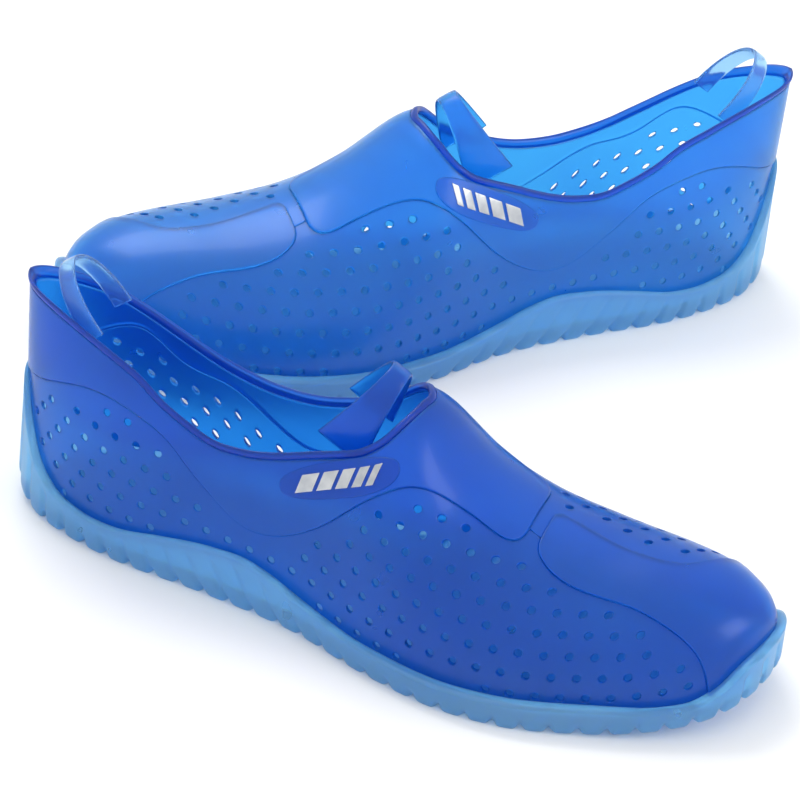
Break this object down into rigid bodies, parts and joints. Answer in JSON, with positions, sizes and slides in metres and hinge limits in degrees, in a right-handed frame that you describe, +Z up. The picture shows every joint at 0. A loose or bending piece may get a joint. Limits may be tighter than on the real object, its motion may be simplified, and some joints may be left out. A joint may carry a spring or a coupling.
{
  "type": "water shoes",
  "caption": "Pair of translucent moulded slip-on water shoes with perforated sides, low treaded sole cups and pull loops at heel and instep.",
  "frame": {"origin": "on the ground under the middle of the pair's box", "axes": "+Z up; +Y away from the front shoe, across the two shoes' length; +X to the front (right-foot) shoe's toe side"},
  "size_m": [0.2716, 0.316, 0.0986],
  "materials": {
    "blue_upper": "translucent soft PVC, satin gloss",
    "blue_rim": "translucent soft PVC, thicker edge",
    "pale_blue_sole": "translucent soft PVC, paler shot",
    "pale_blue_loop": "thin translucent soft PVC",
    "silver_print": "metallic silver print"
  },
  "bodies": {
    "right_shoe": {"right_outsole": "pale_blue_sole", "right_lateral_vent_panel": "blue_upper", "right_medial_vent_panel": "blue_upper", "right_saddle": "blue_upper", "right_collar_rim": "blue_rim", "right_toe_guard": "blue_upper", "right_badge_plate": "blue_upper", "right_badge_mark": "silver_print"},
    "right_heel_loop": {"right_heel_pull_loop": "pale_blue_loop"},
    "right_instep_loop": {"right_instep_pull_loop": "blue_upper"},
    "left_shoe": {"left_outsole": "pale_blue_sole", "left_lateral_vent_panel": "blue_upper", "left_medial_vent_panel": "blue_upper", "left_saddle": "blue_upper", "left_collar_rim": "blue_rim", "left_toe_guard": "blue_upper", "left_badge_plate": "blue_upper", "left_badge_mark": "silver_print"},
    "left_heel_loop": {"left_heel_pull_loop": "pale_blue_loop"},
    "left_instep_loop": {"left_instep_pull_loop": "blue_upper"}
  },
  "joints": [
    {"name": "left_shoe_lift", "type": "slide", "parent": "right_shoe", "child": "left_shoe", "axis": [0, 0, 1], "range_m": [0, 0.15]},
    {"name": "right_heel_loop_bend", "type": "hinge", "parent": "right_shoe", "child": "right_heel_loop", "pos_m": [-0.10739, -0.052, 0.078], "axis": [0.3107, 0.9505, 0], "range_deg": [-10, 40], "stiffness_Nm_per_rad": 0.02},
    {"name": "right_instep_loop_bend", "type": "hinge", "parent": "right_shoe", "child": "right_instep_loop", "pos_m": [-0.0166, -0.08325, 0.067], "axis": [0.3107, 0.9505, 0], "range_deg": [-25, 4], "stiffness_Nm_per_rad": 0.03},
    {"name": "left_heel_loop_bend", "type": "hinge", "parent": "left_shoe", "child": "left_heel_loop", "pos_m": [0.10227, 0.13379, 0.078], "axis": [0.3859, -0.9225, 0], "range_deg": [-10, 40], "stiffness_Nm_per_rad": 0.02},
    {"name": "left_instep_loop_bend", "type": "hinge", "parent": "left_shoe", "child": "left_instep_loop", "pos_m": [0.01428, 0.09536, 0.067], "axis": [0.3859, -0.9225, 0], "range_deg": [-25, 4], "stiffness_Nm_per_rad": 0.03}
  ]
}
